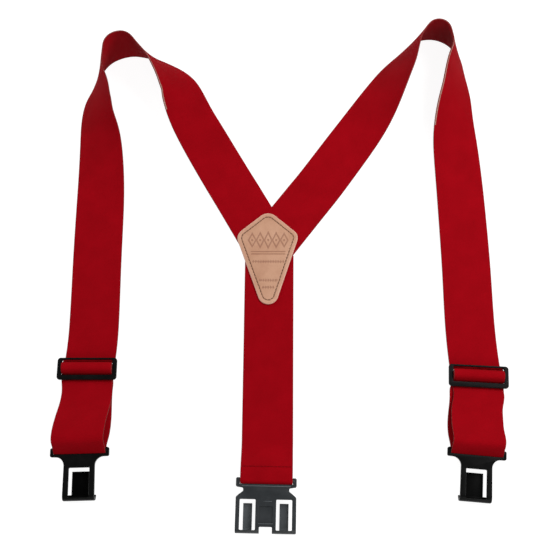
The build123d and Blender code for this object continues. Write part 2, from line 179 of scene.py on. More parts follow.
# The raised lines on the back clip's plate, below the webbing, above the panel and round its foot: (left end,
# right end, place along, width) in mm. Their section is (share of the width, height over the plate in mm).
RIDGES = [(-23.5, 23.5, -5.6, 0.9), (-2.2, 5.8, -19.8, 0.6), (-6.9, 6.9, -40.6, 0.7)]
RIDGE_SECTION = [(-0.5, -0.2), (-0.42, 0.12), (-0.2, 0.25), (0.2, 0.25), (0.42, 0.12), (0.5, -0.2)]
RIDGE_END = 0.3
RIDGE_END_DROP = 0.12

# The patch, in mm: its corners and their radii, its stitches, and how deep its edge and marks are.
PATCH_CORNERS = [(0.7, 43.4), (33.4, 15.5), (1.2, -82.0), (-33.6, 15.5)]
PATCH_RADII = [12.0, 10.0, 10.6, 11.0]
PATCH_MIDDLE_X = 0.7
PATCH_GRID = 0.34
EDGE_DEPTH = 0.55
EDGE_REACH = 1.1
PRESS_DEPTH = 0.30
GROOVE_DEPTH = 0.16
HOLE_DEPTH = 0.35
CROWN = 0.10
CROWN_REACH = 8
STITCH_INSET = 4.4
STITCH_PITCH = 3.6
STITCH_HALF = 1.42
STITCH_RADIUS = 0.38
STITCH_LIFT = 0.24
STITCH_DIP = 0.28
STITCH_SINK = 0.12
HOLE_AT = 1.35

# The pressed ornament: lozenges in a band, two rules as (height, half length, half width), and rows of marks
# as (height, half length, pitch, size).
LOZENGES = 5
LOZENGE_PITCH = 8.4
LOZENGE_MIDDLE = (0.6, 9.5)
LOZENGE_HALF_WIDE = 3.9
LOZENGE_HALF_TALL = 8.6
LOZENGE_LOSS = 0.7       # how much less tall each next one outwards is, halved
LOZENGE_LINE = 0.62
DOT = 1.05
RULES = [(-3.2, 17.5, 0.48), (-5.8, 17.5, 0.44)]
MARK_ROWS = [(-14.2, 15.6, 2.6, 1.05), (-34.6, 8.8, 2.5, 0.95), (-42.2, 5.2, 2.6, 1.05)]
MARK_SLOPES = (0.9, 0.62)


# ---------------------------------------------------------------- curves

def spline(points, samples):
    """A smooth line through points, a natural cubic over chord length: even positions and their tangents."""
    p = np.array(points, float)
    t = np.concatenate([[0], np.cumsum(np.linalg.norm(np.diff(p, axis=0), axis=1))])
    n = len(p)
    h = np.diff(t)
    a = np.zeros((n, n))
    b = np.zeros((n, p.shape[1]))
    a[0, 0] = a[-1, -1] = 1
    for i in range(1, n - 1):
        a[i, i - 1:i + 2] = h[i - 1], 2 * (h[i - 1] + h[i]), h[i]
        b[i] = 6 * ((p[i + 1] - p[i]) / h[i] - (p[i] - p[i - 1]) / h[i - 1])
    m = np.linalg.solve(a, b)

    def at(u):
        i = np.clip(np.searchsorted(t, u, side="right") - 1, 0, n - 2)
        d = (u - t[i])[:, None]
        k = h[i][:, None]
        slope = (p[i + 1] - p[i]) / k - k * (2 * m[i] + m[i + 1]) / 6
        value = p[i] + slope * d + m[i] * d ** 2 / 2 + (m[i + 1] - m[i]) * d ** 3 / (6 * k)
        rate = slope + m[i] * d + (m[i + 1] - m[i]) * d ** 2 / (2 * k)
        return value, rate

    fine = np.linspace(0, t[-1], 1200)
    run = np.concatenate([[0], np.cumsum(np.linalg.norm(np.diff(at(fine)[0], axis=0), axis=1))])
    even = np.interp(np.linspace(0, run[-1], samples), run, fine)
    value, rate = at(even)
    return value, rate / np.linalg.norm(rate, axis=1)[:, None]


def smooth_rows(rows, passes):
    """Rows of numbers, each pass averaging every inner row with its neighbours."""
    rows = np.array(rows, float)
    for _ in range(passes):
        rows[1:-1] = (rows[:-2] + 2 * rows[1:-1] + rows[2:]) / 4
    return rows


def strap_lift(x, y):
    """How far the backing leather holds a strap off the table."""
    share = np.clip((TABLE_RADIUS - np.hypot(x, y)) / (TABLE_RADIUS - FLAT_RADIUS), 0, 1)
    return (BACKING_THICK + LAYER_GAP) * share ** 2 * (3 - 2 * share)


def tipped_frames(route, side):
    """Stations (middle, across, normal) of a strap that stands on its outer edge; side is 1 or -1, whichever
    makes across point inwards."""
    where, _ = spline([(x * MM, y * MM, tilt * MM) for x, y, tilt in route], SHOULDER_SAMPLES)
    where = smooth_rows(where, passes=4)
    heading = np.gradient(where[:, :2], axis=0)
    heading = smooth_rows(heading / np.linalg.norm(heading, axis=1)[:, None], passes=16)
    stations = []
    for (x, y, tilt), (dx, dy) in zip(where, heading):
        along = Vector((dx, dy, 0)).normalized()
        inward = Vector((along.y, -along.x, 0)) * side
        turn = radians(tilt / MM)
        across = inward * cos(turn) + Vector((0, 0, sin(turn)))
        middle = Vector((x, y, HALF_THICK * max(cos(turn), 0))) + across * (WIDTH / 2)
        middle.z += float(strap_lift(middle.x, middle.y))
        normal = across.cross(along) * side
        stations.append((middle, across, normal))
    return stations


def level(place, along, height, offset=0.0):
    """A point at (along, height) mm in a place's own upright plane."""
    x, y, turn = place
    return Vector(((x - along * sin(radians(turn)) + offset * cos(radians(turn))) * MM,
                   (y + along * cos(radians(turn)) + offset * sin(radians(turn))) * MM, height * MM))


def across_of(place):
    """A place's own direction to the right."""
    return Vector((cos(radians(place[2])), sin(radians(place[2])), 0))


def beside(place, along):
    """The place that lies along mm further up."""
    x, y, turn = place
    return (x - along * sin(radians(turn)), y + along * cos(radians(turn)), turn)


# ---------------------------------------------------------------- meshes

def mesh_object(name, verts, faces, smooth=True):
    data = bpy.data.meshes.new(name)
    data.from_pydata([tuple(v) for v in verts], [], faces)
    data.update()
    made = bpy.data.objects.new(name, data)
    bpy.context.scene.collection.objects.link(made)
    for face in data.polygons:
        face.use_smooth = smooth
    return made


def dress(made, *materials):
    """Gives a mesh these materials; every face starts with the first one."""
    made.data.materials.clear()
    for mat in materials:
        made.data.materials.append(mat)


def webbing_section():
    """The outline of the webbing across its width: (across, up, is_edge), with soft woven selvedges; and the
    number of its strip beside the inner edge."""
    steps = 24
    top = []
    for i in range(steps + 1):
        u = (i / steps - 0.5) * (WIDTH - 2 * SELVEDGE)
        near = min(1.0, (WIDTH / 2 - abs(u)) / THINNING)
        top.append((u, HALF_THICK * (0.90 + 0.10 * near)))
    top.insert(-1, (top[-1][0] - HEM_HIGHLIGHT_WIDTH, top[-2][1]))
    rounded, lower = WIDTH / 2 - 0.05 * MM, HALF_THICK * 0.70
    right = [(rounded, lower), (WIDTH / 2, 0.0), (rounded, -lower)]
    outline = [(u, z, 0) for u, z in top] + [(u, z, 1) for u, z in right]
    outline += [(-u, -z, 0) for u, z in top] + [(-u, -z, 1) for u, z in right]
    return outline, len(top) - 2


def strap(name, stations, start=0.0, highlight_from_x=None):
    """A closed ribbon of webbing along stations, with its own UVs in metres: U across and V along. Where it
    rises steeply to the right of the given x, a painted highlight of pale yarns lies beside its inner edge."""
    section, hem_highlight_strip = webbing_section()
    n = len(section)
    verts = []
    lengths = [start]
    for (a, _, _), (b, _, _) in zip(stations, stations[1:]):
        lengths.append(lengths[-1] + (b - a).length)
    for middle, across, normal in stations:
        verts += [middle + across * u + normal * z for u, z, _ in section]
    faces = []
    for row in range(len(stations) - 1):
        for i in range(n):
            j = (i + 1) % n
            faces.append((row * n + i, row * n + j, (row + 1) * n + j, (row + 1) * n + i))
    body = len(faces)
    last = (len(stations) - 1) * n
    faces.append(tuple(reversed(range(n))))
    faces.append(tuple(last + i for i in range(n)))
    made = mesh_object(name, verts, faces)
    layer = made.data.uv_layers.new(name="weave")
    for face in made.data.polygons:
        for loop in face.loop_indices:
            v = made.data.loops[loop].vertex_index
            layer.data[loop].uv = (section[v % n][0], lengths[v // n])
    dress(made, webbing, webbing_edge, webbing_hem_highlight)
    edge = [is_edge for _, _, is_edge in section]
    for index, face in enumerate(made.data.polygons):
        i = index % n
        if index >= body or edge[i] or edge[(i + 1) % n]:
            face.material_index = 1
        # Painted highlight: the pale strip beside the inner edge, where that edge faces the left light.
        elif i == hem_highlight_strip and highlight_from_x is not None:
            middle, across, _ = stations[index // n]
            if across.z > HEM_HIGHLIGHT_RISE and middle.x > highlight_from_x:
                face.material_index = 2
    return made


def cut_plane(made, point, normal):
    """Cuts away what is on the normal's side of a plane and closes the cut."""
    bm = bmesh.new()
    bm.from_mesh(made.data)
    geometry = bm.verts[:] + bm.edges[:] + bm.faces[:]
    result = bmesh.ops.bisect_plane(bm, geom=geometry, plane_co=point, plane_no=normal, clear_outer=True)
    rim = [e for e in result["geom_cut"] if isinstance(e, bmesh.types.BMEdge)]
    bmesh.ops.holes_fill(bm, edges=rim, sides=0)
    bm.to_mesh(made.data)
    bm.free()


# ---------------------------------------------------------------- materials

class Nodes:
    """Short ways to wire a material."""

    def __init__(self, name):
        self.mat = bpy.data.materials.new(name)
        self.mat.use_nodes = True
        self.tree = self.mat.node_tree
        self.shader = self.tree.nodes["Principled BSDF"]

    def add(self, kind, **values):
        node = self.tree.nodes.new(kind)
        for key, value in values.items():
            setattr(node, key, value)
        return node

    def link(self, a, b):
        self.tree.links.new(a, b)

    def math(self, operation, a, b=None):
        node = self.add("ShaderNodeMath", operation=operation)
        for i, value in enumerate((a, b)):
            if value is None:
                continue
            if isinstance(value, (int, float)):
                node.inputs[i].default_value = value
            else:
                self.link(value, node.inputs[i])
        return node.outputs[0]

    def noise(self, vector, scale, detail, roughness=0.55):
        node = self.add("ShaderNodeTexNoise")
        node.inputs["Scale"].default_value = scale
        node.inputs["Detail"].default_value = detail
        node.inputs["Roughness"].default_value = roughness
        self.link(vector, node.inputs["Vector"])
        return node.outputs["Fac"]

    def ramp(self, fac, stops):
        node = self.add("ShaderNodeValToRGB")
        while len(node.color_ramp.elements) < len(stops):
            node.color_ramp.elements.new(0.5)
        for element, (at, colour) in zip(node.color_ramp.elements, stops):
            element.position = at
            element.color = (*colour, 1)
        self.link(fac, node.inputs["Fac"])
        return node.outputs["Color"]

    def mix(self, fac, a, b, blend="MIX"):
        node = self.add("ShaderNodeMix", data_type="RGBA", blend_type=blend)
        factor, first, second = node.inputs[0], node.inputs[6], node.inputs[7]
        for socket, value in ((factor, fac), (first, a), (second, b)):
            if isinstance(value, (int, float)):
                socket.default_value = value
            elif isinstance(value, tuple):
                socket.default_value = (*value, 1)
            else:
                self.link(value, socket)
        return node.outputs[2]

    def bump(self, height, distance, strength):
        node = self.add("ShaderNodeBump")
        node.inputs["Distance"].default_value = distance
        node.inputs["Strength"].default_value = strength
        self.link(height, node.inputs["Height"])
        self.link(node.outputs["Normal"], self.shader.inputs["Normal"])

    def range(self, fac, low, high):
        node = self.add("ShaderNodeMapRange")
        node.inputs["To Min"].default_value = low
        node.inputs["To Max"].default_value = high
        self.link(fac, node.inputs["Value"])
        return node.outputs["Result"]


def webbing_material(name, deep, bright):
    """Knitted elastic webbing: lengthwise ribs, finer picks across them, and a slightly uneven dye."""
    m = Nodes(name)
    uv = m.add("ShaderNodeUVMap", uv_map="weave").outputs["UV"]
    split = m.add("ShaderNodeSeparateXYZ")
    m.link(uv, split.inputs[0])
    across, along = split.outputs[0], split.outputs[1]
    rib = m.math("SINE", m.math("MULTIPLY", across, 2 * pi / RIB_PITCH))
    offset = m.math("MULTIPLY", m.math("SIGN", rib), pi / 2)
    pick = m.math("SINE", m.math("ADD", m.math("MULTIPLY", along, 2 * pi / PICK_PITCH), offset))
    rib_round = m.math("ABSOLUTE", rib)
    weave = m.math("ADD", m.math("MULTIPLY", rib_round, 0.65), m.math("MULTIPLY", pick, 0.25))
    cloud = m.noise(uv, 38.0, 4.0)
    fine = m.noise(uv, 900.0, 3.0, 0.7)
    tone = m.math("ADD", m.math("MULTIPLY", weave, 0.30), m.math("MULTIPLY", cloud, 0.55))
    tone = m.math("ADD", tone, m.math("MULTIPLY", fine, 0.25))
    colour = m.ramp(tone, [(0.15, deep), (0.85, bright)])
    m.link(colour, m.shader.inputs["Base Color"])
    m.link(m.range(fine, 0.72, 0.92), m.shader.inputs["Roughness"])
    m.shader.inputs["Sheen Weight"].default_value = 0.015
    m.shader.inputs["Sheen Roughness"].default_value = 0.45
    m.shader.inputs["Sheen Tint"].default_value = (1.0, 0.30, 0.30, 1)
    m.shader.inputs["Specular IOR Level"].default_value = 0.04
    height = m.math("ADD", weave, m.math("MULTIPLY", fine, 0.8))
    m.bump(height, 0.00012, 0.55)
    return m.mat


def selvedge_material(name, deep, middle, pale):
    """The webbing's edge, where the pale rubber and core yarns show between the red ones."""
    m = Nodes(name)
    uv = m.add("ShaderNodeUVMap", uv_map="weave").outputs["UV"]
    split = m.add("ShaderNodeSeparateXYZ")
    m.link(uv, split.inputs[0])
    pick = m.math("SINE", m.math("MULTIPLY", split.outputs[1], 2 * pi / EDGE_PICK_PITCH))
    fine = m.noise(uv, 700.0, 3.0, 0.6)
    tone = m.math("ADD", m.math("MULTIPLY", pick, 0.22), fine)
    m.link(m.ramp(tone, [(0.25, deep), (0.50, middle), (0.80, pale)]), m.shader.inputs["Base Color"])
    m.shader.inputs["Roughness"].default_value = 0.85
    m.shader.inputs["Specular IOR Level"].default_value = 0.15
    m.bump(tone, 0.0002, 0.6)
    return m.mat


def leather_material(name, tan, dark, pale, rim):
    """Vegetable-tanned leather: pores, soft grain and uneven tan. With a rim colour, the mesh's attributes
    say where it is the paler cut edge and where it is pressed in and darker."""
    m = Nodes(name)
    place = m.add("ShaderNodeTexCoord").outputs["Object"]
    cloud = m.noise(place, 60.0, 5.0, 0.6)
    grain = m.noise(place, 1500.0, 4.0, 0.65)
    pores = m.add("ShaderNodeTexVoronoi", feature="DISTANCE_TO_EDGE")
    pores.inputs["Scale"].default_value = 1100.0
    m.link(place, pores.inputs["Vector"])
    base = m.ramp(cloud, [(0.30, dark), (0.52, tan), (0.78, pale)])
    speck = m.ramp(grain, [(0.35, (0.80, 0.80, 0.80)), (0.65, (1.05, 1.05, 1.05))])
    colour = m.mix(0.55, base, speck, "MULTIPLY")
    if rim:
        edge = m.add("ShaderNodeAttribute", attribute_name="rim").outputs["Fac"]
        colour = m.mix(edge, colour, rim)
        press = m.add("ShaderNodeAttribute", attribute_name="press").outputs["Fac"]
        colour = m.mix(m.math("MULTIPLY", press, 0.78), colour, (0.30, 0.130, 0.075))
    m.link(colour, m.shader.inputs["Base Color"])
    m.link(m.range(grain, 0.42, 0.66), m.shader.inputs["Roughness"])
    m.shader.inputs["Specular IOR Level"].default_value = 0.35
    cells = m.ramp(pores.outputs["Distance"], [(0.0, (0, 0, 0)), (0.12, (1, 1, 1))])
    height = m.math("ADD", m.math("MULTIPLY", grain, 0.5), m.math("MULTIPLY", cells, 0.35))
    m.bump(height, 0.00006, 0.5)
    return m.mat


def plastic_material(name, colour, scuff, specular):
    """Moulded nylon: a fine mould texture, slightly greyer where it has been handled."""
    m = Nodes(name)
    place = m.add("ShaderNodeTexCoord").outputs["Object"]
    cloud = m.noise(place, 90.0, 4.0)
    fine = m.noise(place, 2600.0, 2.0, 0.6)
    m.link(m.ramp(cloud, [(0.35, colour), (0.75, scuff)]), m.shader.inputs["Base Color"])
    m.link(m.range(cloud, 0.32, 0.48), m.shader.inputs["Roughness"])
    m.shader.inputs["Specular IOR Level"].default_value = specular
    m.bump(m.math("ADD", fine, m.math("MULTIPLY", cloud, 0.6)), 0.00003, 0.5)
    return m.mat


def thread_material(name, deep, bright):
    """Twisted thread."""
    m = Nodes(name)
    place = m.add("ShaderNodeTexCoord").outputs["Object"]
    twist = m.noise(place, 1800.0, 2.0)
    m.link(m.ramp(twist, [(0.35, deep), (0.7, bright)]), m.shader.inputs["Base Color"])
    m.shader.inputs["Roughness"].default_value = 0.8
    m.shader.inputs["Specular IOR Level"].default_value = 0.05
    m.bump(twist, 0.0001, 0.6)
    return m.mat


webbing = webbing_material("webbing_red", (0.235, 0.0002, 0.0028), (0.385, 0.0010, 0.0065))
webbing_edge = selvedge_material("webbing_edge", (0.15, 0.004, 0.006), (0.22, 0.02, 0.02), (0.32, 0.08, 0.07))
# A paler copy of the edge yarns, painted highlight beside the raised inner edges that face the left light.
webbing_hem_highlight = selvedge_material("webbing_hem_highlight", (0.30, 0.12, 0.10), (0.42, 0.25, 0.20), (0.54, 0.40, 0.33))
leather = leather_material("patch_tan", tan=(0.60, 0.325, 0.205), dark=(0.53, 0.270, 0.165),
                           pale=(0.66, 0.375, 0.245), rim=(0.76, 0.44, 0.33))
backing_leather = leather_material("backing_tan", tan=(0.60, 0.38, 0.25), dark=(0.50, 0.30, 0.19),
                                   pale=(0.68, 0.45, 0.31), rim=None)
plastic = plastic_material("clip_nylon", (0.0022, 0.0023, 0.0023), (0.0050, 0.0050, 0.0050), 0.10)
# The clips' nylon painted darker, as painted shade on the front clips' hooks.
shaded_hook_plastic = plastic_material("front_hook_nylon_painted_shade", (0.0012, 0.0012, 0.0012), (0.0026, 0.0026, 0.0026), 0.03)
back_plastic = plastic_material("back_clip_nylon", (0.0230, 0.0265, 0.0295), (0.0350, 0.0395, 0.0430), 0.32)
# The back clip's nylon painted lighter, as painted light on its hooks and painted highlight on its ridges.
lit_hook_plastic = plastic_material("back_hook_nylon_painted_light", (0.0900, 0.1010, 0.1090), (0.1120, 0.1250, 0.1340), 0.36)
brown_thread = thread_material("patch_thread", (0.125, 0.066, 0.040), (0.24, 0.130, 0.080))
red_thread = thread_material("fold_thread", (0.17, 0.0006, 0.0026), (0.28, 0.0010, 0.0050))


# ---------------------------------------------------------------- webbing pieces

def finish_strap(made, flat, held, rests_on, *nodes):
    """Shades a strap and hides the CAD nodes that it stands for; flat, held and rests_on are not used."""
    made.data.set_sharp_from_angle(angle=radians(55))
    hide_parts(*nodes)


def run_length(stations):
    return sum((b[0] - a[0]).length for a, b in zip(stations, stations[1:]))


def make_shoulder(name, route, side, adjuster):
    """The front leg, which the adjuster takes up, and the rest of the strap to its seam under the patch."""
    stations = tipped_frames(route, side)
    stations[0] = (level(adjuster, THREAD_END, HALF_THICK / MM, LEG_ASIDE[name]), across_of(adjuster) * side,
                   Vector((0, 0, 1)))
    top = next(i for i, (middle, _, _) in enumerate(stations) if middle.y > LEG_TOP_Y)
    leg_length = run_length(stations[:top + 1])
    leg = strap(f"{name}_leg_webbing", stations[:top + 1])
    finish_strap(leg, (WIDTH, leg_length), "laid", [], f"{name}_leg_strap")
    blend_y(leg, "yoke", f"{name}_slide", LEG_TOP_Y - 0.003, (adjuster[1] + THREAD_END) * MM + 0.004)
    arch = strap(f"{name}_shoulder_webbing", stations[top:], leg_length, HEM_HIGHLIGHT_FROM_X[name])
    cut_plane(arch, (SEAM_X, 0, 0), (side, 0, 0))
    cut_plane(arch, (0, BACK_TOP_Y + SEAM_GAP, 0), (0, -1, 0))
    kept = [s for s in stations[top:] if s[0].y > BACK_TOP_Y and (s[0].x - SEAM_X) * side < 0]
    finish_strap(arch, (WIDTH, run_length(kept)), "laid", ["patch_backing"], f"{name}_shoulder_strap")
    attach(arch, "yoke")


def blend_y(made, a, b, start_y, end_y):
    """Lets a piece follow body a before start_y, body b past end_y, and both in between."""
    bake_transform(made, a, b, start=(0, start_y, 0), end=(0, end_y, 0))


def fold_round(place, lead, first, back):
    """Points (x, y, z, turn) of webbing that comes down along lead onto a clip's bar, turns round it from the
    first angle on, and runs back."""
    side = list(lead)
    side += [(FOLD_RADIUS * cos(radians(d)), CLIP_BAR_Z + FOLD_RADIUS * sin(radians(d)))
             for d in np.linspace(first, FOLD_FINISH, 8)]
    side += [(back * i / 3, CLIP_BAR_Z - FOLD_RADIUS) for i in (1, 2, 3)]
    return [(*level(place, u, z), place[2] * MM) for u, z in side]


def between(start, finish, rise):
    """Points (x, y, z, turn) between two places that follow (share, height, sideways) points."""
    points = []
    for share, z, aside in rise:
        place = tuple(a + (b - a) * share for a, b in zip(start, finish))
        points.append((*level(place, 0, z, aside), place[2] * MM))
    return points


def stations_through(points, samples):
    """Stations along a smooth line through points (x, y, z in metres, turn in thousandths of a degree)."""
    where, heading = spline(points, samples)
    stations = []
    for (x, y, z, turn), (dx, dy, dz, _) in zip(where, heading):
        across = across_of((0, 0, turn / MM))
        along = Vector((dx, dy, dz))
        along = (along - across * along.dot(across)).normalized()
        stations.append((Vector((x, y, z)), across, across.cross(along) * -1))
    return stations


def make_lower(name, adjuster, clip, front, back):
    """The strap's lower end in one piece: through the adjuster, down round the clip's bar, and back to its
    sewn end round the adjuster's middle bar."""
    leaves = beside(adjuster, -THREAD_END)
    reaches = beside(clip, FOLD_END)
    aside = [LEG_ASIDE[name]] + [WINDOW_ASIDE[name]] * (len(THREADED) - 2) + [0.0]
    points = [(*level(adjuster, u, z, a), adjuster[2] * MM) for (u, z), a in zip(THREADED, aside)]
    points += between(leaves, reaches, front[1:-1])
    points += fold_round(clip, [(FOLD_END, FRONT_FOLD_TOP)], FRONT_FOLD_START, FOLD_END)
    points += between(leaves, reaches, back[-2:0:-1])
    for u, z, share in WRAPPED:
        points.append((*level(adjuster, u, z, share * WRAP_ASIDE[name]), adjuster[2] * MM))
    stations = stations_through(points, LOWER_SAMPLES)
    made = strap(f"{name}_lower_webbing", stations)
    finish_strap(made, (WIDTH, run_length(stations)), "folded", [f"{name}_adjuster", f"{name}_front_clip"],
                 f"{name}_threaded_webbing", f"{name}_loop_front", f"{name}_clip_fold", f"{name}_loop_back",
                 f"{name}_end_loop")
    blend_y(made, f"{name}_slide", f"{name}_loop_end", leaves[1] * MM - 0.001, reaches[1] * MM + 0.001)


def make_back_strap():
    """The back strap, from its seam under the patch to the fold round the clip's bar and the sewn tail."""
    seam, lead = (2.0, BACK_TOP_Y / MM, 0.0), beside(BACK_CLIP, BACK_LEAD[0][0])
    steps = 24
    points = []
    for i in range(steps):
        x, y, turn = (a + (b - a) * i / steps for a, b in zip(seam, lead))
        height = (HALF_THICK + float(strap_lift(x * MM, y * MM))) / MM
        points.append((*level((x, y, turn), 0, height), turn * MM))
    points += [(*level(BACK_CLIP, u, z), BACK_CLIP[2] * MM) for u, z in BACK_LEAD[:-1]]
    over_bar = CLIP_BAR_Z + FOLD_RADIUS
    points += fold_round(BACK_CLIP, [(FOLD_END, over_bar), (FOLD_END / 2, over_bar)], BACK_FOLD_START,
                         FOLD_END + BACK_TAIL)
    stations = stations_through(points, BACK_SAMPLES)
    made = strap("back_webbing", stations)
    finish_strap(made, (WIDTH, run_length(stations)), "laid", ["patch_backing", "back_clip"],
                 "back_strap", "back_strap_fold")
    blend_y(made, "yoke", "back_end", BACK_STRETCH_Y, lead[1] * MM + 0.001)


make_shoulder("left", LEFT_ROUTE, 1, LEFT_ADJUSTER)
make_shoulder("right", RIGHT_ROUTE, -1, RIGHT_ADJUSTER)
make_lower("left", LEFT_ADJUSTER, LEFT_CLIP, LEFT_FRONT, LEFT_BACK)
make_lower("right", RIGHT_ADJUSTER, RIGHT_CLIP, RIGHT_FRONT, RIGHT_BACK)
make_back_strap()


# ---------------------------------------------------------------- clips and adjusters

def moulded(node, name, body, mat, width=0.45 * MM, segments=3):
    """A copy of a CAD node's shape with its mould's rounded edges."""
    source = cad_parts[node]
    data = source.data.copy()
    made = bpy.data.objects.new(name, data)
    bpy.context.scene.collection.objects.link(made)
    bm = bmesh.new()
    bm.from_mesh(data)
    bmesh.ops.remove_doubles(bm, verts=bm.verts[:], dist=1e-6)
    bmesh.ops.dissolve_limit(bm, angle_limit=radians(0.6), verts=bm.verts[:], edges=bm.edges[:])
    bm.to_mesh(data)
    bm.free()
    for attribute in [a.name for a in data.attributes if a.name == "custom_normal"]:
        data.attributes.remove(data.attributes[attribute])
    bevel = made.modifiers.new("edges", "BEVEL")
    bevel.width = width
    bevel.segments = segments
    bevel.limit_method = "ANGLE"
    bevel.angle_limit = radians(38)
    bevel.use_clamp_overlap = True
    bevel.harden_normals = False
    bpy.context.view_layer.objects.active = made
    made.select_set(True)
    bpy.ops.object.modifier_apply(modifier=bevel.name)
    made.select_set(False)
    for face in made.data.polygons:
        face.use_smooth = True
    made.data.set_sharp_from_angle(angle=radians(50))
    dress(made, mat)
    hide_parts(node)
    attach(made, body)
    return made


def tighten_ears(made, place):
    """Brings the inner faces of a clip's ears close to the webbing between them."""
    inner = WIDTH / 2 + EAR_GAP * MM
    middle, across = level(place, 0, 0), across_of(place)
    along = Vector((-across.y, across.x, 0))
    for vertex in made.data.vertices:
        u, v = (vertex.co - middle).dot(across), (vertex.co - middle).dot(along)
        if inner < abs(u) < inner + EAR_REACH * MM and v > EARS_FROM * MM:
            vertex.co += across * (inner * (1 if u > 0 else -1) - u)


def paint_hook_light_and_shade(made, mat):
    """Gives the faces of a clip's hooks another copy of its plastic: a lighter one paints light, a darker one
    paints shade.
    """
    made.data.materials.append(mat)
    for face in made.data.polygons:
        if face.center.z < HOOK_TOP_Z:
            face.material_index = 1


def make_ridges():
    """The raised lines on the back clip's plate, with sloping ends, coloured lighter than the plate as
    painted highlights.
    """
    verts, faces = [], []
    rows, columns = len(RIDGE_SECTION), 4
    for left, right, along, wide in RIDGES:
        first = len(verts)
        for v, z in RIDGE_SECTION:
            for u in (left, left + RIDGE_END, right - RIDGE_END, right):
                drop = RIDGE_END_DROP if u in (left, right) and z > 0 else 0.0
                verts.append(level(BACK_CLIP, along + v * wide, PLATE_TOP + z - drop, u))
        for row in range(rows):
            for i in range(columns - 1):
                a, b = first + row * columns + i, first + (row + 1) % rows * columns + i
                faces.append((a, b, b + 1, a + 1))
        faces.append(tuple(first + row * columns for row in reversed(range(rows))))
        faces.append(tuple(first + row * columns + columns - 1 for row in range(rows)))
    made = mesh_object("back_clip_ridges", verts, faces)
    made.data.set_sharp_from_angle(angle=radians(50))
    # Painted highlight: the ridges take the lighter copy of the plastic.
    dress(made, lit_hook_plastic)
    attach(made, "back_hook")


# The front clips' hooks are painted darker, as shade.
for side in ("left", "right"):
    paint_hook_light_and_shade(moulded(f"{side}_front_clip", f"{side}_belt_clip", f"{side}_clip", plastic), shaded_hook_plastic)
    moulded(f"{side}_adjuster", f"{side}_adjuster_frame", f"{side}_slide", plastic, 0.3 * MM, 2)
back_belt_clip = moulded("back_clip", "back_belt_clip", "back_hook", back_plastic)
# The back clip's hooks are painted lighter, as light.
paint_hook_light_and_shade(back_belt_clip, lit_hook_plastic)
tighten_ears(back_belt_clip, BACK_CLIP)
make_ridges()


# ---------------------------------------------------------------- patch

def rounded_kite(inset=0.0, step=0.7):
    """Points round the patch's outline in mm, drawn in from its edge by inset."""
    corners = [Vector(c) for c in PATCH_CORNERS]
    middle = Vector((0, 0))
    lines = []
    for a, b in zip(corners, corners[1:] + corners[:1]):
        along = (b - a).normalized()
        inward = Vector((along.y, -along.x))
        if inward.dot(middle - a) < 0:
            inward = -inward
        lines.append((a + inward * inset, along))
    outline = []
    for i, radius in enumerate(PATCH_RADII):
        (p, d), (q, e) = lines[i - 1], lines[i]
        t = ((q - p).x * e.y - (q - p).y * e.x) / (d.x * e.y - d.y * e.x)
        corner = p + d * t
        r = max(radius - inset, 0.6)
        half = d.angle(e) / 2
        reach = r * np.tan(half)
        toward = ((e - d) / 2).normalized()
        centre = corner + toward * (r / cos(half))
        first = corner - d * reach - centre
        last = corner + e * reach - centre
        start = np.arctan2(first.y, first.x)
        sweep = (np.arctan2(last.y, last.x) - start + pi) % (2 * pi) - pi
        count = max(4, int(abs(sweep) * r / step))
        for k in range(count + 1):
            turn = start + sweep * k / count
            outline.append((centre.x + r * cos(turn), centre.y + r * sin(turn)))
    closed = []
    for a, b in zip(outline, outline[1:] + outline[:1]):
        length = np.hypot(b[0] - a[0], b[1] - a[1])
        count = max(1, int(round(length / step)))
        closed += [(a[0] + (b[0] - a[0]) * k / count, a[1] + (b[1] - a[1]) * k / count) for k in range(count)]
    return np.array(closed)


def distance_to(points, line):
    """How far each point is from a closed line, in mm."""
    best = np.full(len(points), 1e9)
    for a, b in zip(line, np.roll(line, -1, axis=0)):
        d = b - a
        t = np.clip(((points - a) @ d) / (d @ d), 0, 1)
        best = np.minimum(best, np.linalg.norm(points - a - t[:, None] * d, axis=1))
    return best


def inside_of(points, line):
    """Whether each point is inside a closed line."""
    x, y = points[:, 0], points[:, 1]
    found = np.zeros(len(points), bool)
    for (x0, y0), (x1, y1) in zip(line, np.roll(line, -1, axis=0)):
        crosses = (y0 > y) != (y1 > y)
        if y1 != y0:
            found ^= crosses & (x < (x1 - x0) * (y - y0) / (y1 - y0) + x0)
    return found


def pressed(distance, half_width, soft=0.25):
    """1 on a pressed line and 0 away from it, from the distance to the line's middle."""
    return np.clip((half_width + soft - distance) / soft, 0, 1)


def motif(x, y):
    """The patch's pressed ornament: a band of lozenges with dots, two rules, and rows of small marks."""
    press = np.zeros(len(x))
    for k in range(-(LOZENGES // 2), LOZENGES // 2 + 1):
        u, v = x - LOZENGE_MIDDLE[0] - k * LOZENGE_PITCH, y - LOZENGE_MIDDLE[1]
        wide, tall = LOZENGE_HALF_WIDE, LOZENGE_HALF_TALL - abs(k) * LOZENGE_LOSS
        line = np.abs(np.abs(u) / wide + np.abs(v) / tall - 1) * wide * tall / np.hypot(wide, tall)
        press = np.maximum(press, pressed(line, LOZENGE_LINE))
        press = np.maximum(press, pressed(np.hypot(u, v), DOT))
    u = x - PATCH_MIDDLE_X
    for height, half, thick in RULES:
        away = np.hypot(np.maximum(np.abs(u) - half, 0), y - height)
        press = np.maximum(press, pressed(away, thick))
    for height, half, pitch, size in MARK_ROWS:
        nearest = np.clip(np.round(u / pitch) * pitch, -half, half)
        mark = np.abs(u - nearest) * MARK_SLOPES[0] + np.abs(y - height) * MARK_SLOPES[1]
        press = np.maximum(press, pressed(mark, size) * (np.abs(u) < half + pitch / 2))
    return press


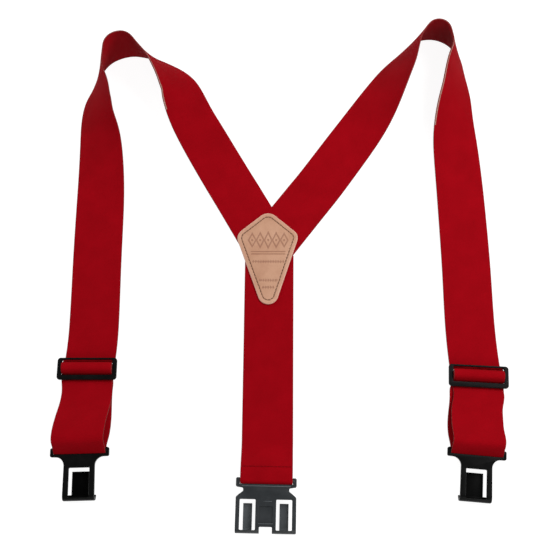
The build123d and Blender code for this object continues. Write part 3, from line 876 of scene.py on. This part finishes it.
def stitch_places():
    """Where each stitch of the patch lies: (x, y, direction) in mm."""
    line = rounded_kite(STITCH_INSET, 0.4)
    closed = np.vstack([line, line[:1]])
    run = np.concatenate([[0], np.cumsum(np.linalg.norm(np.diff(closed, axis=0), axis=1))])
    count = int(round(run[-1] / STITCH_PITCH))
    places = []
    for k in range(count):
        at = run[-1] * k / count
        x, y = (np.interp(at, run, closed[:, i]) for i in (0, 1))
        ahead = [np.interp((at + 0.6) % run[-1], run, closed[:, i]) for i in (0, 1)]
        places.append((x, y, np.arctan2(ahead[1] - y, ahead[0] - x)))
    return places


def make_patch():
    """The patch: rounded edges, a pressed ornament, and a groove that the stitches lie in."""
    outline = rounded_kite()
    rings = [outline] + [rounded_kite(inset) for inset in (0.15, 0.35, 0.65, 1.1, 1.7)]
    low, high = outline.min(0), outline.max(0)
    columns, rows = (np.arange(low[i], high[i], PATCH_GRID) for i in (0, 1))
    grid = np.array([(x, y) for x in columns for y in rows])
    reach = distance_to(grid, outline[::2])
    keep = inside_of(grid, outline) & (reach > 2.0)
    points = np.vstack(rings + [grid[keep]])
    edges = [(i, (i + 1) % len(outline)) for i in range(len(outline))]
    meshed = delaunay_2d_cdt([Vector(p) for p in points], edges, [], 1, 1e-5)
    flat, faces = np.array([tuple(v) for v in meshed[0]]), meshed[2]
    reach = distance_to(flat, outline)
    press = motif(flat[:, 0], flat[:, 1])
    groove = pressed(distance_to(flat, rounded_kite(STITCH_INSET)[::2]), 0.35, 0.7)
    holes = np.zeros(len(flat))
    for x, y, turn in stitch_places():
        for end in (-1, 1):
            hole = (x + end * HOLE_AT * cos(turn), y + end * HOLE_AT * sin(turn))
            near = np.hypot(flat[:, 0] - hole[0], flat[:, 1] - hole[1])
            holes = np.maximum(holes, pressed(near, 0.15, 0.6))
    edge = np.clip(1 - reach / EDGE_REACH, 0, 1)
    height = PATCH_TOP / MM - EDGE_DEPTH * edge ** 2
    height -= PRESS_DEPTH * press + GROOVE_DEPTH * groove + HOLE_DEPTH * holes
    height += CROWN * np.clip((reach - STITCH_INSET) / CROWN_REACH, 0, 1)
    verts = [(x * MM, y * MM, z * MM) for (x, y), z in zip(flat, height)]
    faces = [tuple(f) for f in faces]
    rim_loop = [int(np.argmin(np.hypot(flat[:, 0] - x, flat[:, 1] - y))) for x, y in outline]
    first = len(verts)
    for rise, scale in ((EDGE_DEPTH, 1), (0.0, 0.9988)):
        verts += [(x * MM * scale, y * MM * scale, PATCH_BOTTOM + rise * MM) for x, y in outline]
    n = len(outline)
    clockwise = sum(a[0] * b[1] - a[1] * b[0] for a, b in zip(outline, np.roll(outline, -1, axis=0))) < 0
    loops = [rim_loop, list(range(first, first + n)), list(range(first + n, first + 2 * n))]
    for upper, lower in zip(loops, loops[1:]):
        for i in range(n):
            j = (i + 1) % n
            face = (upper[i], lower[i], lower[j], upper[j])
            faces.append(face if not clockwise else tuple(reversed(face)))
    under = tuple(loops[2])
    faces.append(under if clockwise else tuple(reversed(under)))
    made = mesh_object("patch_front", verts, faces)
    count = len(verts)
    rim = np.ones(count)
    rim[:len(flat)] = np.clip(1 - (reach - 0.35) / 0.6, 0, 1) * 0.85 + 0.15 * (reach < STITCH_INSET - 0.8)
    dark = np.zeros(count)
    dark[:len(flat)] = np.maximum(np.maximum(press * 0.85, holes), groove * 0.14)
    for name, values in (("rim", rim), ("press", dark)):
        made.data.attributes.new(name, "FLOAT", "POINT").data.foreach_set("value", values.astype(np.float32))
    dress(made, leather)
    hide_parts("patch_leather")
    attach(made, "yoke")


def make_stitches():
    """Each stitch as a rounded length of thread that dips into its holes."""
    verts, faces = [], []
    along = around = 8
    for x, y, turn in stitch_places():
        first = len(verts)
        for i in range(along + 1):
            share = i / along * 2 - 1
            u = STITCH_HALF * share
            lift = STITCH_LIFT * (1 - share ** 4) - STITCH_DIP * share ** 4
            r = STITCH_RADIUS * max(1 - share ** 8, 0.15)
            for k in range(around):
                bend = 2 * pi * k / around
                side, up = r * cos(bend), lift + r * 0.8 * sin(bend)
                verts.append(((x + u * cos(turn) - side * sin(turn)) * MM,
                              (y + u * sin(turn) + side * cos(turn)) * MM,
                              PATCH_TOP + (up - STITCH_SINK) * MM))
        for i in range(along):
            for k in range(around):
                j = (k + 1) % around
                faces.append((first + i * around + k, first + i * around + j,
                              first + (i + 1) * around + j, first + (i + 1) * around + k))
        faces.append(tuple(first + k for k in reversed(range(around))))
        faces.append(tuple(first + along * around + k for k in range(around)))
    made = mesh_object("patch_stitching", verts, faces)
    dress(made, brown_thread)
    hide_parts("patch_stitches")
    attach(made, "yoke")


make_patch()
make_stitches()
for node, mat in (("patch_backing", backing_leather), ("back_fold_stitches", red_thread)):
    dress(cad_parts[node], mat)


# ---------------------------------------------------------------- floor, light, camera

floor = mesh_object("floor", [(-3, -3, 0), (3, -3, 0), (3, 3, 0), (-3, 3, 0)], [(0, 1, 2, 3)], False)
floor_mat = Nodes("floor_white")
floor_mat.shader.inputs["Base Color"].default_value = (0.24, 0.24, 0.24, 1)
floor_mat.shader.inputs["Roughness"].default_value = 0.9
floor_mat.shader.inputs["Specular IOR Level"].default_value = 0.0
floor_mat.shader.inputs["Emission Color"].default_value = (1, 1, 1, 1)
floor_mat.shader.inputs["Emission Strength"].default_value = 0.93
dress(floor, floor_mat.mat)
floor.location.z = -0.0003
floor.visible_diffuse = False


def area_light(name, place, target, size, power):
    lamp = bpy.data.lights.new(name, "AREA")
    lamp.shape = "DISK"
    lamp.size = size
    lamp.energy = power
    made = bpy.data.objects.new(name, lamp)
    bpy.context.scene.collection.objects.link(made)
    made.location = place
    made.rotation_euler = (Vector(target) - Vector(place)).to_track_quat("-Z", "Y").to_euler()


area_light("key", (0.85, 0.40, 1.05), (0, 0, 0), 0.7, 12.8)
area_light("front_fill", (0.60, -2.20, 1.20), (0, 0.1, 0), 1.5, 15)
area_light("left_fill", (-2.00, 1.50, 1.30), (0, 0.1, 0), 1.6, 31)
world = bpy.data.worlds.new("studio")
world.use_nodes = True
world.node_tree.nodes["Background"].inputs["Color"].default_value = (1, 1, 1, 1)
world.node_tree.nodes["Background"].inputs["Strength"].default_value = 0.25
bpy.context.scene.world = world

camera = bpy.data.cameras.new("camera")
camera.sensor_width = 36.0
camera.lens = 58.9
viewer = bpy.data.objects.new("camera", camera)
bpy.context.scene.collection.objects.link(viewer)
viewer.location = (0.0079, -0.3023, 0.900)
viewer.rotation_euler = (Vector((0.0079, -0.0272, 0)) - viewer.location).to_track_quat("-Z", "Y").to_euler()
bpy.context.scene.camera = viewer
bpy.context.scene.view_settings.view_transform = "Standard"
